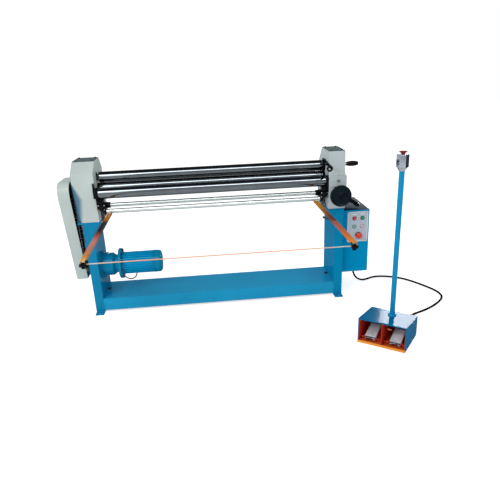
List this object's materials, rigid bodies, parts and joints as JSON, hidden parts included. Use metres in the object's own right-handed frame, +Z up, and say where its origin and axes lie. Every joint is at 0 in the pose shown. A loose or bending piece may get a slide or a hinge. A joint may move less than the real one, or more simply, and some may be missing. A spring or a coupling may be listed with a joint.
{
  "type": "slip roll machine",
  "caption": "Electric slip roll machine: three forming rolls between housings on a stand, chain drive, trip wire guard and loose foot control station.",
  "frame": {"origin": "on the floor in the middle of the four anchor holes", "axes": "+X along the rolls from the chain drive to the hand crank, +Y from the operator's side to the back, +Z up"},
  "size_m": [2.2289, 1.1464, 0.969],
  "materials": {
    "grey_paint": "satin",
    "blue_paint": "gloss",
    "slate_paint": "satin",
    "panel_paint": "matte",
    "orange_paint": "satin",
    "roll_steel": "polished",
    "bright_steel": "satin",
    "dark_steel": "oiled",
    "black_iron": "satin",
    "bronze": "satin",
    "zinc": "satin",
    "motor_paint": "satin",
    "alloy": "satin",
    "black_plastic": "matte",
    "red_plastic": "gloss",
    "green_plastic": "gloss",
    "lamp_plastic": "gloss",
    "cable_rubber": "matte",
    "tread_metal": "textured",
    "tray_paint": "gloss"
  },
  "bodies": {
    "frame": {"left_post": "blue_paint", "right_post": "blue_paint", "base_beam": "blue_paint", "frame_bolts": "zinc", "left_housing": "grey_paint", "right_housing": "grey_paint", "housing_caps": "slate_paint", "screw_cover": "grey_paint", "chain_cover": "grey_paint", "drive_chain": "dark_steel", "gearbox": "motor_paint", "motor_body": "motor_paint", "fan_cover": "motor_paint", "terminal_box": "motor_paint", "motor_cable": "cable_rubber", "roll_bushes": "bronze", "bearing_plates": "black_iron", "pivot_socket": "black_iron", "gear_boxes": "black_iron", "trip_switch": "black_plastic", "control_box": "blue_paint", "control_panel": "panel_paint", "panel_lamps": "lamp_plastic", "cable_glands": "black_plastic", "foot_cable": "cable_rubber", "pedal_base": "tray_paint", "pedal_hood": "blue_paint", "pedal_post": "blue_paint", "stop_housing": "alloy", "pedal_pin": "bright_steel"},
    "carrier": {"upper_carrier": "black_iron", "pivot_ball": "black_iron"},
    "top_roll": {"upper_roll": "roll_steel", "upper_gear": "dark_steel"},
    "drive_roll": {"lower_roll": "roll_steel", "lower_gear": "dark_steel", "roll_sprocket": "dark_steel"},
    "motor_drive": {"output_shaft": "bright_steel", "motor_sprocket": "dark_steel"},
    "front_slide": {"slide_blocks": "black_iron"},
    "bending_roll": {"front_roll": "roll_steel"},
    "left_lift_screw": {"left_screw": "dark_steel"},
    "right_lift_screw": {"right_screw": "dark_steel"},
    "cross_drive": {"cross_shaft": "bright_steel"},
    "hand_crank": {"wheel_shaft": "bright_steel", "handwheel": "black_iron"},
    "crank_grip": {"crank_handle": "black_plastic"},
    "clamp_screw": {"lock_screw": "black_iron"},
    "guard": {"guard_bar": "bright_steel", "left_arm": "orange_paint", "right_arm": "orange_paint", "trip_wire": "zinc", "wire_clamps": "black_plastic"},
    "switch_lever": {"trip_lever": "black_plastic"},
    "start": {"start_button": "green_plastic"},
    "stop": {"stop_button": "red_plastic"},
    "emergency": {"emergency_button": "red_plastic"},
    "station_stop": {"station_button": "red_plastic"},
    "left_treadle": {"left_pedal": "tread_metal"},
    "right_treadle": {"right_pedal": "tread_metal"}
  },
  "joints": [
    {"name": "upper_roll_lift", "type": "hinge", "parent": "frame", "child": "carrier", "pos_m": [-0.783, -0.0365, 0.8065], "axis": [0, -1, 0], "range_deg": [0, 4]},
    {"name": "upper_roll_spin", "type": "hinge", "parent": "carrier", "child": "top_roll", "pos_m": [0, -0.0365, 0.8065], "axis": [1, 0, 0], "continuous": true},
    {"name": "lower_roll_spin", "type": "hinge", "parent": "frame", "child": "drive_roll", "pos_m": [0, -0.0365, 0.7435], "axis": [1, 0, 0], "continuous": true, "deforming": ["drive_chain"]},
    {"name": "motor_shaft_spin", "type": "hinge", "parent": "frame", "child": "motor_drive", "pos_m": [0, -0.018, 0.26776], "axis": [1, 0, 0], "continuous": true, "deforming": ["drive_chain"]},
    {"name": "front_roll_raise", "type": "slide", "parent": "frame", "child": "front_slide", "axis": [0, 0, 1], "range_m": [0, 0.034]},
    {"name": "front_roll_spin", "type": "hinge", "parent": "front_slide", "child": "bending_roll", "pos_m": [0, -0.1195, 0.728], "axis": [1, 0, 0], "continuous": true},
    {"name": "left_screw_turn", "type": "hinge", "parent": "front_slide", "child": "left_lift_screw", "pos_m": [-0.645, -0.1195, 0.671], "axis": [0, 0, 1], "range_deg": [0, 2460]},
    {"name": "right_screw_turn", "type": "hinge", "parent": "front_slide", "child": "right_lift_screw", "pos_m": [0.645, -0.1195, 0.671], "axis": [0, 0, 1], "range_deg": [0, 2460]},
    {"name": "cross_shaft_turn", "type": "hinge", "parent": "frame", "child": "cross_drive", "pos_m": [0, -0.0895, 0.653], "axis": [1, 0, 0], "range_deg": [0, 2460]},
    {"name": "hand_crank_turn", "type": "hinge", "parent": "frame", "child": "hand_crank", "pos_m": [0.724, -0.215, 0.653], "axis": [0, 1, 0], "range_deg": [-2460, 0]},
    {"name": "crank_handle_spin", "type": "hinge", "parent": "hand_crank", "child": "crank_grip", "pos_m": [0.799, -0.255, 0.616], "axis": [0, 1, 0], "continuous": true},
    {"name": "lock_screw_turn", "type": "hinge", "parent": "frame", "child": "clamp_screw", "pos_m": [0.83, -0.0365, 0.8065], "axis": [1, 0, 0], "range_deg": [-90, 270]},
    {"name": "guard_tilt", "type": "hinge", "parent": "frame", "child": "guard", "pos_m": [0, -0.135, 0.628], "axis": [-1, 0, 0], "range_deg": [0, 60]},
    {"name": "trip_lever_swing", "type": "hinge", "parent": "frame", "child": "switch_lever", "pos_m": [0.704, -0.14, 0.49], "axis": [0, 1, 0], "range_deg": [-15, 15], "stiffness_Nm_per_rad": 0.5},
    {"name": "start_press", "type": "slide", "parent": "frame", "child": "start", "axis": [0, 1, 0], "range_m": [0, 0.004], "stiffness_N_per_m": 400, "springref_m": -0.001},
    {"name": "stop_press", "type": "slide", "parent": "frame", "child": "stop", "axis": [0, 1, 0], "range_m": [0, 0.004], "stiffness_N_per_m": 400, "springref_m": -0.001},
    {"name": "emergency_press", "type": "slide", "parent": "frame", "child": "emergency", "axis": [0, 1, 0], "range_m": [0, 0.005], "stiffness_N_per_m": 600, "springref_m": -0.002},
    {"name": "station_stop_press", "type": "slide", "parent": "frame", "child": "station_stop", "axis": [0, 0, -1], "range_m": [0, 0.004], "stiffness_N_per_m": 600, "springref_m": -0.002},
    {"name": "left_pedal_press", "type": "hinge", "parent": "frame", "child": "left_treadle", "pos_m": [0.75103, -0.74866, 0.024], "axis": [-0.7955, 0.606, 0], "range_deg": [0, 10], "stiffness_Nm_per_rad": 6, "springref_deg": -2.86},
    {"name": "right_pedal_press", "type": "hinge", "parent": "frame", "child": "right_treadle", "pos_m": [0.85444, -0.82744, 0.024], "axis": [-0.7955, 0.606, 0], "range_deg": [0, 10], "stiffness_Nm_per_rad": 6, "springref_deg": -2.86}
  ],
  "couplings": [
    {"joint": "upper_roll_spin", "follows": "lower_roll_spin", "ratio": -1},
    {"joint": "motor_shaft_spin", "follows": "lower_roll_spin", "ratio": 1.4},
    {"joint": "left_screw_turn", "follows": "front_roll_raise", "rad_per_m": 1256.6},
    {"joint": "right_screw_turn", "follows": "front_roll_raise", "rad_per_m": 1256.6},
    {"joint": "cross_shaft_turn", "follows": "front_roll_raise", "rad_per_m": 1256.6},
    {"joint": "hand_crank_turn", "follows": "front_roll_raise", "rad_per_m": -1256.6}
  ]
}
